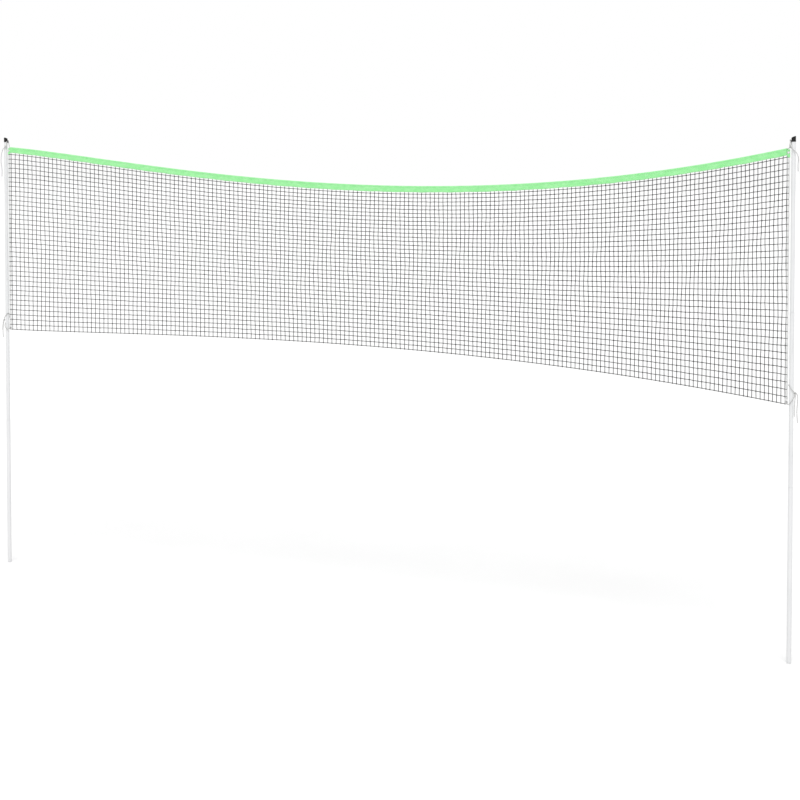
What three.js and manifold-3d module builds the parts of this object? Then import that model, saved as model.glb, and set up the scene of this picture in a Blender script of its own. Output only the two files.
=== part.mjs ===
// A portable sports net, 3 m wide, tied between two thin sectional poles that are pushed into the ground.
// Units are millimetres. +X runs along the net from the left pole to the right one, +Y goes through the
// net to its far side, and +Z is up. The origin is on the ground line, midway between the poles.

import * as THREE from "three";
import { mergeVertices } from "three/addons/utils/BufferGeometryUtils.js";
import Module from "manifold-3d";

const wasm = await Module();
wasm.setup();

// ---- Driving dimensions ----

const POLE_SPACING = 3000;
const POLE_HEIGHT = 1550;
const GAP = 0.3;

// Each pole is three tubes. A tube's lower end is swaged down and pushes into the tube below.
const TUBE_WALL = 0.8;
const LOWER_DIAMETER = 14;
const MIDDLE_DIAMETER = 13;
const UPPER_DIAMETER = 12;
const MIDDLE_BOTTOM = 520;
const UPPER_BOTTOM = 1035;
const SPIGOT_LENGTH = 60;
const SPIGOT_CLEARANCE = 0.15;
const SWAGE_TAPER = 6;
const ROUND_SEGMENTS = 24;

// The spike is a steel rod held in the lowest tube by a plug that is flush with the tube's end.
const SPIKE_DIAMETER = 8;
const SPIKE_BELOW_GROUND = 130;
const SPIKE_POINT = 24;
const SPIKE_IN_TUBE = 70;
const PLUG_LENGTH = 30;

// The cap's head slants down towards the net. A hook on that side goes down past the tube's end, out and
// up again, and the tie lies in it.
const CAP_DIAMETER = 13.6;
const CAP_HEIGHT = 17;
const CAP_EDGE = 1.2;
const CAP_SLANT_DROP = 5.5;
const CAP_PLUG_LENGTH = 25;
const HOOK_WIDTH = 5;
const HOOK_THICKNESS = 2.2;
const HOOK_LEG = 0.8;
const HOOK_REACH = 11;
const HOOK_LIP_THICKNESS = 1.1;
const HOOK_LIP_HEIGHT = 8.5;
const HOOK_BOTTOM = 1530.5;
const HOOK_ROOT_HEIGHT = 6;
const HOOK_ROOT_DEPTH = 0.8;

// The net hangs between two side tapes. Its top edge sags, and its bottom edge bows upwards.
const TAPE_INSET = 11;
const TAPE_WIDTH = 8;
const TAPE_THICKNESS = 1.6;
const TAPE_TOP = 1507;
const CORNER_HEIGHT = 18;
const NET_INSET = TAPE_INSET + TAPE_WIDTH + GAP;
const BAND_TOP_AT_POLES = 1514;
const BAND_HEIGHT = 20.5;
const BAND_HALF_WIDTH = 2.4;
const BAND_CLOTH = 0.8;
const BAND_END_CLEARANCE = 4.6;
const SAG_DEPTH = 123;
const SAG_SKEW = 1.23;
const FOOT_LEFT = 854;
const FOOT_RIGHT = 765;
const FOOT_BOW = 59;
const FOOT_SKEW = 1.25;
const MESH_THICKNESS = 1.2;
const MESH_BELOW_BAND = 1;
const FOOT_CORD_DIAMETER = 2;
const EDGE_STEPS = 60;

// The ties and the head cord are one kind of thin braided cord.
const CORD_DIAMETER = 2.4;
const CORD_SIDES = 8;
const CORD_STEP = 6;
const KNOT_RADIUS = 4;

// Eyelets are pressed through the side tapes at their two ends.
const EYELET_INSET = TAPE_INSET + TAPE_WIDTH / 2;
const EYELET_HOLE = 4.2;
const EYELET_BARREL = 5.6;
const EYELET_FLANGE = 7.6;
const EYELET_FLANGE_THICKNESS = 0.5;
const EYELET_EDGE = 6;

// ---- Materials ----

function material(colour, roughness, metalness) {
  return new THREE.MeshStandardMaterial({ color: colour, roughness, metalness });
}

const POLE_PAINT = material(0xf0f0ee, 0.35, 0.1);
const CAP_PLASTIC = material(0x18181a, 0.55, 0);
const PLUG_PLASTIC = material(0xe4e4e0, 0.6, 0);
const SPIKE_STEEL = material(0xb4b6b8, 0.35, 0.9);
const BAND_CLOTH_GREEN = material(0x93f59a, 0.8, 0);
const TAPE_CLOTH = material(0xeeeeea, 0.85, 0);
const MESH_TWINE = material(0x2b2b2d, 0.8, 0);
const CORD_WHITE = material(0xe9e9e5, 0.85, 0);
const EYELET_METAL = material(0x8d8f92, 0.35, 0.9);

// ---- Small helpers ----

// Turns a profile of [radius, height] pairs about the Z axis.
function turned(profile, segments = ROUND_SEGMENTS) {
  const points = profile.map(([radius, height]) => new THREE.Vector2(radius, height));
  return new THREE.LatheGeometry(points, segments).rotateX(Math.PI / 2);
}

// Extrudes an outline drawn in X and Z by a thickness centred on the XZ plane.
function plate(outline, thickness) {
  const shape = new THREE.Shape(outline.map(([x, z]) => new THREE.Vector2(x, z)));
  const geometry = new THREE.ExtrudeGeometry(shape, { depth: thickness, bevelEnabled: false });
  return geometry.rotateX(Math.PI / 2).translate(0, thickness / 2, 0);
}

// Sweeps a section of [across, down] pairs along a curve.
function swept(section, curve, steps) {
  const shape = new THREE.Shape(section.map(([across, down]) => new THREE.Vector2(across, down)));
  return new THREE.ExtrudeGeometry(shape, { steps, extrudePath: curve, bevelEnabled: false });
}

function roundSection(diameter, sides) {
  const section = [];
  for (let i = 0; i < sides; i += 1) {
    const angle = (2 * Math.PI * i) / sides;
    section.push([(diameter / 2) * Math.cos(angle), (diameter / 2) * Math.sin(angle)]);
  }
  return section;
}

function solid(geometry) {
  const bare = geometry.index ? geometry.toNonIndexed() : geometry.clone();
  bare.deleteAttribute("normal");
  bare.deleteAttribute("uv");
  const merged = mergeVertices(bare, 1e-4);
  return new wasm.Manifold(
    new wasm.Mesh({
      numProp: 3,
      vertProperties: new Float32Array(merged.attributes.position.array),
      triVerts: new Uint32Array(merged.index.array),
    }),
  );
}

function geometryOf(manifold) {
  const mesh = manifold.getMesh();
  const geometry = new THREE.BufferGeometry();
  geometry.setAttribute("position", new THREE.BufferAttribute(mesh.vertProperties, 3));
  geometry.setIndex(new THREE.BufferAttribute(mesh.triVerts, 1));
  geometry.computeVertexNormals();
  return geometry;
}

const net = new THREE.Group();

function addPiece(name, geometry, pieceMaterial, place = [0, 0, 0]) {
  const mesh = new THREE.Mesh(geometry, pieceMaterial);
  mesh.name = name;
  mesh.position.set(...place);
  net.add(mesh);
}

// ---- The two sides ----

// Inset is measured from a pole's axis towards the net, so both sides share every inset below.
const SIDES = [
  { name: "left", direction: -1, foot: FOOT_LEFT },
  { name: "right", direction: 1, foot: FOOT_RIGHT },
];

function xAtInset(side, inset) {
  return side.direction * (POLE_SPACING / 2 - inset);
}

// ---- The net's edges, as functions of the share of the way from the left pole to the right one ----

const NET_WIDTH = POLE_SPACING - 2 * NET_INSET;

function netX(share) {
  return (share - 0.5) * NET_WIDTH;
}

function bandTop(share) {
  const skewed = share ** SAG_SKEW;
  return BAND_TOP_AT_POLES - SAG_DEPTH * 4 * skewed * (1 - skewed);
}

function footEdge(share) {
  const skewed = share ** FOOT_SKEW;
  return FOOT_LEFT + (FOOT_RIGHT - FOOT_LEFT) * share + FOOT_BOW * 4 * skewed * (1 - skewed);
}

// A curve along the net at a height that depends on the share of the way across. It stops short of the
// side tapes by the clearance, because the end of a deep section leans outwards where the curve slopes.
class EdgeCurve extends THREE.Curve {
  constructor(heightAt, clearance = 0) {
    super();
    this.heightAt = heightAt;
    this.firstShare = clearance / NET_WIDTH;
  }

  getPoint(position, target = new THREE.Vector3()) {
    const share = this.firstShare + (1 - 2 * this.firstShare) * position;
    return target.set(netX(share), 0, this.heightAt(share));
  }
}

// ---- Poles ----

// A tube with its bore open at both ends. A spigot, where there is one, is the swaged lower end.
function tube(diameter, bottom, top, spigotDiameter) {
  const outer = diameter / 2;
  const inner = outer - TUBE_WALL;
  if (spigotDiameter === null) {
    return turned([[inner, bottom], [outer, bottom], [outer, top], [inner, top], [inner, bottom]]);
  }
  const spigotOuter = spigotDiameter / 2;
  const spigotInner = spigotOuter - TUBE_WALL;
  const spigotBottom = bottom - SPIGOT_LENGTH;
  return turned([
    [spigotInner, spigotBottom],
    [spigotOuter, spigotBottom],
    [spigotOuter, bottom],
    [outer, bottom + GAP],
    [outer, top],
    [inner, top],
    [inner, bottom + SWAGE_TAPER],
    [spigotInner, bottom],
    [spigotInner, spigotBottom],
  ]);
}

function spigotFor(outerTubeDiameter) {
  return outerTubeDiameter - 2 * TUBE_WALL - 2 * SPIGOT_CLEARANCE;
}

function groundSpike() {
  const radius = SPIKE_DIAMETER / 2;
  return turned([
    [0, -SPIKE_BELOW_GROUND],
    [radius, SPIKE_POINT - SPIKE_BELOW_GROUND],
    [radius, SPIKE_IN_TUBE],
    [0, SPIKE_IN_TUBE],
  ]);
}

function footPlug() {
  const outer = LOWER_DIAMETER / 2 - TUBE_WALL - SPIGOT_CLEARANCE;
  const inner = SPIKE_DIAMETER / 2 + SPIGOT_CLEARANCE;
  return turned([[inner, 0], [outer, 0], [outer, PLUG_LENGTH], [inner, PLUG_LENGTH], [inner, 0]]);
}

// The cap, drawn with the net on its +X side and its axis at X = 0.
function poleCap() {
  const head = CAP_DIAMETER / 2;
  const plug = UPPER_DIAMETER / 2 - TUBE_WALL - SPIGOT_CLEARANCE;
  const headBottom = POLE_HEIGHT - CAP_HEIGHT;
  const body = solid(turned([
    [0, headBottom - CAP_PLUG_LENGTH],
    [plug, headBottom - CAP_PLUG_LENGTH],
    [plug, headBottom],
    [head, headBottom],
    [head, POLE_HEIGHT - CAP_EDGE],
    [head - CAP_EDGE, POLE_HEIGHT],
    [0, POLE_HEIGHT],
  ]));
  const slant = solid(plate([
    [-head, POLE_HEIGHT],
    [head + 1, POLE_HEIGHT - CAP_SLANT_DROP],
    [head + 1, POLE_HEIGHT + 1],
    [-head, POLE_HEIGHT + 1],
  ], 2 * CAP_DIAMETER));
  const leg = UPPER_DIAMETER / 2 + GAP;
  const lip = HOOK_REACH - HOOK_LIP_THICKNESS;
  const hook = solid(plate([
    [head - HOOK_ROOT_DEPTH, headBottom + HOOK_ROOT_HEIGHT],
    [head - HOOK_ROOT_DEPTH, headBottom + GAP],
    [leg, headBottom + GAP],
    [leg, HOOK_BOTTOM + 1],
    [leg + 1, HOOK_BOTTOM],
    [HOOK_REACH - 1, HOOK_BOTTOM],
    [HOOK_REACH, HOOK_BOTTOM + 1],
    [HOOK_REACH, HOOK_BOTTOM + HOOK_LIP_HEIGHT],
    [lip, HOOK_BOTTOM + HOOK_LIP_HEIGHT],
    [lip, HOOK_BOTTOM + HOOK_THICKNESS],
    [leg + HOOK_LEG, HOOK_BOTTOM + HOOK_THICKNESS],
    [leg + HOOK_LEG, headBottom],
    [head - GAP, headBottom + HOOK_ROOT_HEIGHT],
  ], HOOK_WIDTH));
  return geometryOf(body.subtract(slant).add(hook));
}

function addPole(side) {
  const place = [xAtInset(side, 0), 0, 0];
  const upperTop = POLE_HEIGHT - CAP_HEIGHT - GAP;
  const cap = poleCap();
  if (side.direction > 0) {
    cap.rotateZ(Math.PI);
  }
  addPiece(`${side.name}_ground_spike`, groundSpike(), SPIKE_STEEL, place);
  addPiece(`${side.name}_foot_plug`, footPlug(), PLUG_PLASTIC, place);
  const lower = tube(LOWER_DIAMETER, 0, MIDDLE_BOTTOM, null);
  addPiece(`${side.name}_lower_tube`, lower, POLE_PAINT, place);
  const middle = tube(MIDDLE_DIAMETER, MIDDLE_BOTTOM + GAP, UPPER_BOTTOM, spigotFor(LOWER_DIAMETER));
  addPiece(`${side.name}_middle_tube`, middle, POLE_PAINT, place);
  const upper = tube(UPPER_DIAMETER, UPPER_BOTTOM + GAP, upperTop, spigotFor(MIDDLE_DIAMETER));
  addPiece(`${side.name}_upper_tube`, upper, POLE_PAINT, place);
  addPiece(`${side.name}_pole_cap`, cap, CAP_PLASTIC, place);
}

// ---- The net ----

// The top band is one strip of cloth folded over the head cord, with its two edges hanging together.
function bandSection() {
  const foldRadius = BAND_HALF_WIDTH;
  const corner = foldRadius * Math.SQRT1_2;
  const legOuter = BAND_CLOTH + GAP;
  const legTop = 3 * foldRadius;
  const outside = [
    [-legOuter, BAND_HEIGHT],
    [-legOuter, legTop],
    [-foldRadius, foldRadius],
    [-corner, foldRadius - corner],
    [0, 0],
    [corner, foldRadius - corner],
    [foldRadius, foldRadius],
    [legOuter, legTop],
    [legOuter, BAND_HEIGHT],
  ];
  const innerRadius = foldRadius - BAND_CLOTH;
  const innerCorner = innerRadius * Math.SQRT1_2;
  const inside = [
    [GAP, BAND_HEIGHT],
    [GAP, legTop],
    [innerRadius, foldRadius],
    [innerCorner, foldRadius - innerCorner],
    [0, BAND_CLOTH],
    [-innerCorner, foldRadius - innerCorner],
    [-innerRadius, foldRadius],
    [-GAP, legTop],
    [-GAP, BAND_HEIGHT],
  ];
  return outside.concat(inside);
}

function meshSheet() {
  const outline = [];
  for (let i = 0; i <= EDGE_STEPS; i += 1) {
    const share = i / EDGE_STEPS;
    outline.push([netX(share), footEdge(share) + FOOT_CORD_DIAMETER / 2 + GAP]);
  }
  for (let i = EDGE_STEPS; i >= 0; i -= 1) {
    const share = i / EDGE_STEPS;
    outline.push([netX(share), bandTop(share) - BAND_HEIGHT - MESH_BELOW_BAND]);
  }
  return plate(outline, MESH_THICKNESS);
}

function addNet() {
  const bandCurve = new EdgeCurve(bandTop, BAND_END_CLEARANCE);
  const headCurve = new EdgeCurve((share) => bandTop(share) - BAND_HALF_WIDTH, GAP);
  const footCurve = new EdgeCurve(footEdge);
  addPiece("top_band", swept(bandSection(), bandCurve, EDGE_STEPS), BAND_CLOTH_GREEN);
  const headCord = swept(roundSection(CORD_DIAMETER, CORD_SIDES), headCurve, EDGE_STEPS);
  addPiece("head_cord", headCord, CORD_WHITE);
  addPiece("net_mesh", meshSheet(), MESH_TWINE);
  const footCord = swept(roundSection(FOOT_CORD_DIAMETER, CORD_SIDES), footCurve, EDGE_STEPS);
  addPiece("foot_cord", footCord, MESH_TWINE);
}

// ---- Side tapes, corner patches and eyelets ----

function eyeletHeights(side) {
  return { top: TAPE_TOP - EYELET_EDGE, bottom: side.foot + EYELET_EDGE };
}

// A stretch of side tape between two heights, with a hole for the eyelet.
function tapeWithHole(side, bottom, top, holeHeight) {
  const outer = xAtInset(side, TAPE_INSET);
  const inner = xAtInset(side, TAPE_INSET + TAPE_WIDTH);
  const low = Math.min(outer, inner);
  const high = Math.max(outer, inner);
  const tape = solid(plate([[low, bottom], [high, bottom], [high, top], [low, top]], TAPE_THICKNESS));
  const holeRadius = EYELET_BARREL / 2 + GAP;
  const hole = new THREE.CylinderGeometry(holeRadius, holeRadius, 2 * TAPE_WIDTH, ROUND_SEGMENTS);
  hole.translate(xAtInset(side, EYELET_INSET), 0, holeHeight);
  return geometryOf(tape.subtract(solid(hole)));
}

// A spool-shaped ring: a barrel through the cloth with a flange on each face.
function eyelet() {
  const hole = EYELET_HOLE / 2;
  const barrel = EYELET_BARREL / 2;
  const flange = EYELET_FLANGE / 2;
  const face = TAPE_THICKNESS / 2 + GAP;
  const rim = face + EYELET_FLANGE_THICKNESS;
  const ring = turned([
    [hole, -rim],
    [flange, -rim],
    [flange, -face],
    [barrel, -face],
    [barrel, face],
    [flange, face],
    [flange, rim],
    [hole, rim],
    [hole, -rim],
  ], 16);
  return ring.rotateX(Math.PI / 2);
}

// The lowest stretch of each tape is a corner patch, which goes down with the ties when they are slid.
function addSideTape(side) {
  const heights = eyeletHeights(side);
  const patchTop = side.foot + CORNER_HEIGHT;
  const tape = tapeWithHole(side, patchTop + GAP, TAPE_TOP, heights.top);
  addPiece(`${side.name}_side_tape`, tape, TAPE_CLOTH);
  const patch = tapeWithHole(side, side.foot, patchTop, heights.bottom);
  addPiece(`${side.name}_bottom_corner`, patch, TAPE_CLOTH);
  const x = xAtInset(side, EYELET_INSET);
  addPiece(`${side.name}_top_eyelet`, eyelet(), EYELET_METAL, [x, 0, heights.top]);
  addPiece(`${side.name}_bottom_eyelet`, eyelet(), EYELET_METAL, [x, 0, heights.bottom]);
}

// ---- Ties ----

// Routes are [inset, depth, height] points: inset from the pole's axis towards the net, depth towards
// the far side, and height from the band's top at the poles (top ties) or from the net's foot (bottom ties).
const TOP_TIE = [
  [18.9, 0, -2.4],
  [17.4, 0.3, -2.1],
  [14.4, 3, 1.2],
  [11.2, 5.2, 7],
  [9.2, 5.5, 14],
  [8.5, 4.2, 19.8],
  [8.5, 0, 21.7],
  [8.5, -4.2, 19.8],
  [8.7, -5.8, 14],
  [9.8, -6.4, 7.5],
];
const TOP_KNOT = [7.2, -8.4, 3];
const TOP_TAIL = {
  left: [
    [3.6, -9.9, 0.2],
    [-1.5, -10, -4],
    [-7, -8.6, -9],
    [-12.5, -6, -16],
    [-17.5, -4, -26],
    [-20.5, -3, -40],
    [-21, -2.4, -56],
    [-18.5, -2, -72],
    [-17, -2, -88],
    [-18, -2, -106],
  ],
  right: [
    [3.6, -9.9, 0.2],
    [-1.5, -10, -4],
    [-7, -8.6, -9],
    [-12, -6, -15],
    [-15.5, -4, -24],
    [-16.5, -3, -36],
    [-15, -2.6, -50],
    [-15.5, -2.4, -68],
  ],
};
const BOTTOM_TIE = [
  [15, 3.2, 6],
  [15, 0, 6],
  [14.4, -3.8, 4.6],
  [11, -7, 1.2],
  [6, -8.7, -0.4],
  [0, -8.9, 4.5],
  [-5.8, -6.9, 13],
  [-8.6, 0, 22],
  [-6.1, 6.1, 31],
  [0, 8.6, 40],
  [6.1, 6.1, 49],
  [8.6, 0, 56],
  [6.1, -6.2, 57],
  [0, -8.9, 50],
  [-6.4, -7.8, 42],
  [-10.6, -5, 37],
];
const BOTTOM_KNOT = [-13.4, -1.6, 33];
const BOTTOM_TAILS = {
  left: {
    a: [[-14.2, -2.4, 28.3], [-15.4, -3, 22], [-17.4, -3.4, 10], [-19, -3, -4], [-18.8, -2.6, -18], [-17.6, -2.4, -31]],
    b: [[-17.2, -0.6, 31], [-19.8, 0.2, 26], [-21.6, 0.6, 17], [-23, 0.8, 7], [-23.4, 0.8, -5]],
  },
  right: {
    a: [[-13.4, -2.6, 28.3], [-13, -3, 21], [-12, -3.4, 7], [-11, -3.4, -8], [-10.6, -3, -22], [-10.8, -2.8, -36]],
    b: [
      [-17.2, -0.6, 31],
      [-19.2, 0, 25],
      [-19.6, 0.4, 12],
      [-18.4, 0.4, -4],
      [-17.6, 0.2, -20],
      [-18.4, 0.2, -38],
      [-19.6, 0.2, -54],
    ],
  },
};

function routePoint(side, baseHeight, [inset, depth, height]) {
  return new THREE.Vector3(xAtInset(side, inset), depth, baseHeight + height);
}

function cordAlong(side, baseHeight, route) {
  const curve = new THREE.CatmullRomCurve3(route.map((point) => routePoint(side, baseHeight, point)));
  const steps = Math.ceil(curve.getLength() / CORD_STEP);
  return swept(roundSection(CORD_DIAMETER, CORD_SIDES), curve, steps);
}

function addKnot(name, side, baseHeight, point) {
  const centre = routePoint(side, baseHeight, point);
  const knot = new THREE.SphereGeometry(KNOT_RADIUS, 12, 8);
  addPiece(name, knot, CORD_WHITE, centre.toArray());
}

function addTies(side) {
  const topTail = TOP_TAIL[side.name];
  addPiece(`${side.name}_top_tie`, cordAlong(side, BAND_TOP_AT_POLES, TOP_TIE), CORD_WHITE);
  addKnot(`${side.name}_top_knot`, side, BAND_TOP_AT_POLES, TOP_KNOT);
  addPiece(`${side.name}_top_tail`, cordAlong(side, BAND_TOP_AT_POLES, topTail), CORD_WHITE);
  addPiece(`${side.name}_bottom_tie`, cordAlong(side, side.foot, BOTTOM_TIE), CORD_WHITE);
  addKnot(`${side.name}_bottom_knot`, side, side.foot, BOTTOM_KNOT);
  for (const [letter, route] of Object.entries(BOTTOM_TAILS[side.name])) {
    addPiece(`${side.name}_bottom_tail_${letter}`, cordAlong(side, side.foot, route), CORD_WHITE);
  }
}

// ---- Assembly ----

for (const side of SIDES) {
  addPole(side);
  addSideTape(side);
  addTies(side);
}
addNet();

export default net;
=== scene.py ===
"""The looks of a portable sports net on two thin sectional poles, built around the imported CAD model.

Everything is in metres in the CAD frame: +X along the net from the left pole to the right one, +Y through
the net to its far side, +Z up, with the origin on the ground line midway between the poles.
"""

import math

import bmesh
import bpy
import numpy as np
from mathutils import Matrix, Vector


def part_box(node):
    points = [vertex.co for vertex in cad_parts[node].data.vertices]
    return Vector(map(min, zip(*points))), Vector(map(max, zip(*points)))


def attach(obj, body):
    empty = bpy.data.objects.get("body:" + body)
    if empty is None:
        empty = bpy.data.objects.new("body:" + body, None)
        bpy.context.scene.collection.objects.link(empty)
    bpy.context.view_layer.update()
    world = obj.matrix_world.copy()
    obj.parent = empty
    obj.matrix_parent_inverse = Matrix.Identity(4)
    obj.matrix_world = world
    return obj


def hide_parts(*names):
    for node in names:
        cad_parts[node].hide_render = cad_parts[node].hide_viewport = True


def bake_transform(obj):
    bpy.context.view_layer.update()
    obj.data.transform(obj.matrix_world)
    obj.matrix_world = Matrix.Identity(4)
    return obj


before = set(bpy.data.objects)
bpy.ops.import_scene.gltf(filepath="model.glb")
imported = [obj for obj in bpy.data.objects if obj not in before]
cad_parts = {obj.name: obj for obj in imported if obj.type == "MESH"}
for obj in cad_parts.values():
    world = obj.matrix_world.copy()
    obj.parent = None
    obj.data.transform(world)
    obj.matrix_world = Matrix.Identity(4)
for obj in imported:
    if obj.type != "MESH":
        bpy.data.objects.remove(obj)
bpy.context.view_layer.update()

# ---- Sizes that the CAD model settles and the frame doesn't state ----

NET_WIDTH = 2.9614
BAND_TOP_AT_POLES = 1.514
SAG_DEPTH = 0.123
SAG_SKEW = 1.23
BAND_HEIGHT = 0.0205
BAND_FOLD_RADIUS = 0.0024
BAND_CLOTH = 0.0008
BAND_GAP = 0.0003
BAND_END_CLEARANCE = 0.0004
BAND_END_TURN = 0.03
FOOT_HEIGHT = {"left": 0.854, "right": 0.765}
FOOT_BOW = 0.059
FOOT_SKEW = 1.25
CORD_DIAMETER = 0.0024
FOOT_CORD_DIAMETER = 0.002
TUBE_WALL = 0.0008
TAPE_CLOTH = 0.0005
EYELET_BARREL_RADIUS = 0.0028
EYELET_HOLE_RADIUS = 0.0021
EYELET_ROLL = 0.0005
EYELET_STEPS = 12
CAP_SLANT_DROP = 0.0055
CAP_EDGE = 0.0016
HOOK_WIDTH = 0.005
HOOK_REACH = 0.011
HOOK_LEG = 0.0008
HOOK_THICKNESS = 0.0022
HOOK_LIP_THICKNESS = 0.0011
HOOK_LIP_HEIGHT = 0.0085
HOOK_ROOT_HEIGHT = 0.006
CAP_HEIGHT = 0.017
HOOK_DROP = 0.0025
PART_GAP = 0.0003
SPIGOT_CLEARANCE = 0.00015
SPIGOT_LENGTH = 0.0603
SHOULDER_HEIGHT = 0.0012
CAP_BEAD = 0.00025

SIDES = {"left": -1, "right": 1}
POLE_X = {side: sum(corner.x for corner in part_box(f"{side}_lower_tube")) / 2 for side in SIDES}

# ---- Sizes of the fine surface ----

ROUND_SIDES = 48
LIP_STEPS = 4
CORD_SIDES = 16
CORD_RING_STEP = 0.0006
ROUTE_STEPS = 24
SHARE_INTO_KNOT = 0.5
TIE_TUCK = 0.002
STOPPER_SWELL = 0.55
KNOT_SCALE = 0.00098
KNOT_SQUEEZE = 0.47
KNOT_BRAID_RINGS = 20
KNOT_TILT = {"top": 0.5, "bottom": 1.1}
BRAID_PITCH = 0.0052
BRAID_DEPTH = 0.07
TWINE_DIAMETER = 0.0022
TWINE_SIDES = 5
TUCKED_TWINE = 0.0009
TUCKED_RISES = (0.003, -0.0006)
KNOT_SIZE = (0.0022, 0.0018, 0.0023)
NET_ROWS = 38
NET_COLUMNS = 184
COLUMN_GATHER = 0.21
FIRST_ROW_DROP = 0.0060
ROW_END_INSET = 0.0125
ROW_END_TAPER = 0.7
ROW_STANDS_OUT = 0.0011
CROSSING_SHIFT = 0.0005
BILLOW_DEPTH = 0.006
FOOT_CORD_LAY = 0.0085
COLUMN_INSET = {"left": 0.0245, "right": 0.0195}
ROW_STRETCH = {"left": 0.09, "middle": 0.18, "right": 0.25}
STITCH_PITCH = 0.0042
STITCH_LENGTH = 0.0030
STITCH_WIDTH = 0.00050
BAND_STATIONS = 520
BAND_SEAMS = {"lower": BAND_HEIGHT - 0.0028, "upper": 3.4 * BAND_FOLD_RADIUS}
BAND_SEAM_START = 0.003
TAPE_SEAM_SHARE = 0.72
TAPE_SEAM_START = 0.004
CORNER_HEM = 0.0006
SLOPE_STEP = 0.002
PATCH_CLOTH = 0.00035
END_SLEEVE_HEIGHT = 0.0205
END_SLEEVE_RISE = 0.0035

RANDOM = np.random.default_rng(7)

# ---- Cord routes: inset from the pole's axis towards the net, depth along +Y, height above their base ----

TOP_TIE = [
    (0.0189, 0, -0.0024), (0.0174, 0.0003, -0.0021), (0.0144, 0.003, 0.0012), (0.0112, 0.0052, 0.007),
    (0.0092, 0.0055, 0.014), (0.0085, 0.0042, 0.0198), (0.0085, 0, 0.0217), (0.0085, -0.0042, 0.0198),
    (0.0087, -0.0058, 0.014), (0.0098, -0.0064, 0.0075),
]
TOP_KNOT = (0.0072, -0.0084, 0.003)
TOP_TAIL = {
    "left": [
        (0.0036, -0.0099, 0.0002), (-0.0015, -0.01, -0.004), (-0.007, -0.0086, -0.009),
        (-0.0125, -0.006, -0.016), (-0.0175, -0.004, -0.026), (-0.0205, -0.003, -0.04),
        (-0.021, -0.0024, -0.056), (-0.0185, -0.002, -0.072), (-0.017, -0.002, -0.088),
        (-0.018, -0.002, -0.106),
    ],
    "right": [
        (0.0036, -0.0099, 0.0002), (-0.0015, -0.01, -0.004), (-0.007, -0.0086, -0.009),
        (-0.012, -0.006, -0.015), (-0.0155, -0.004, -0.024), (-0.0165, -0.003, -0.036),
        (-0.015, -0.0026, -0.05), (-0.0155, -0.0024, -0.068),
    ],
}
BOTTOM_TIE = [
    (0.015, 0.0032, 0.006), (0.015, 0, 0.006), (0.0144, -0.0038, 0.0046), (0.011, -0.007, 0.0012),
    (0.006, -0.0087, -0.0004), (0, -0.0089, 0.0045), (-0.0058, -0.0069, 0.013), (-0.0086, 0, 0.022),
    (-0.0061, 0.0061, 0.031), (0, 0.0086, 0.04), (0.0061, 0.0061, 0.049), (0.0086, 0, 0.056),
    (0.0061, -0.0062, 0.057), (0, -0.0089, 0.05), (-0.0064, -0.0078, 0.042), (-0.0106, -0.005, 0.037),
]
BOTTOM_KNOT = (-0.0134, -0.0016, 0.033)
BOTTOM_TAILS = {
    "left": {
        "a": [
            (-0.0142, -0.0024, 0.0283), (-0.0154, -0.003, 0.022), (-0.0174, -0.0034, 0.01),
            (-0.019, -0.003, -0.004), (-0.0188, -0.0026, -0.018), (-0.0176, -0.0024, -0.031),
        ],
        "b": [
            (-0.0172, -0.0006, 0.031), (-0.0198, 0.0002, 0.026), (-0.0216, 0.0006, 0.017),
            (-0.023, 0.0008, 0.007), (-0.0234, 0.0008, -0.005),
        ],
    },
    "right": {
        "a": [
            (-0.0134, -0.0026, 0.0283), (-0.013, -0.003, 0.021), (-0.012, -0.0034, 0.007),
            (-0.011, -0.0034, -0.008), (-0.0106, -0.003, -0.022), (-0.0108, -0.0028, -0.036),
        ],
        "b": [
            (-0.0172, -0.0006, 0.031), (-0.0192, 0, 0.025), (-0.0196, 0.0004, 0.012),
            (-0.0184, 0.0004, -0.004), (-0.0176, 0.0002, -0.02), (-0.0184, 0.0002, -0.038),
            (-0.0196, 0.0002, -0.054),
        ],
    },
}


# ---- Places ----

def x_at_inset(side, inset):
    return POLE_X[side] - SIDES[side] * inset


def share_at(x):
    return np.clip(np.asarray(x, float) / NET_WIDTH + 0.5, 0, 1)


def band_top(share):
    skewed = share ** SAG_SKEW
    return BAND_TOP_AT_POLES - SAG_DEPTH * 4 * skewed * (1 - skewed)


def foot_edge(share):
    fall = FOOT_HEIGHT["right"] - FOOT_HEIGHT["left"]
    skewed = share ** FOOT_SKEW
    return FOOT_HEIGHT["left"] + fall * share + FOOT_BOW * 4 * skewed * (1 - skewed)


def placed(side, base, points):
    return [Vector((x_at_inset(side, inset), depth, base + height)) for inset, depth, height in points]


# ---- Mesh helpers ----

def add_mesh(name, vertices, faces, finish, smooth=True):
    mesh = bpy.data.meshes.new(name)
    mesh.from_pydata(np.asarray(vertices, float).tolist(), [], [list(map(int, face)) for face in faces])
    mesh.validate()
    mesh.materials.append(finish)
    mesh.polygons.foreach_set("use_smooth", [smooth] * len(mesh.polygons))
    mesh.update()
    piece = bpy.data.objects.new(name, mesh)
    bpy.context.scene.collection.objects.link(piece)
    return piece


def settle(piece, body, nodes):
    """The piece rides on a body and stands for these CAD nodes."""
    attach(piece, body)
    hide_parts(*nodes)
    return piece


def settle_blended(piece, nodes):
    """The piece spans the raised net and its foot and rides on neither body."""
    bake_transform(piece)
    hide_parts(*nodes)


def unit(vectors):
    return vectors / np.linalg.norm(vectors, axis=-1, keepdims=True)


def around(sides):
    """Even angles round a full turn."""
    return np.arange(sides) * 2 * math.pi / sides


def turned(across, up, sides):
    """For every pair of unit vectors, even directions round the circle that they span."""
    angles = around(sides)
    return across[..., None, :] * np.cos(angles)[:, None] + up[..., None, :] * np.sin(angles)[:, None]


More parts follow.
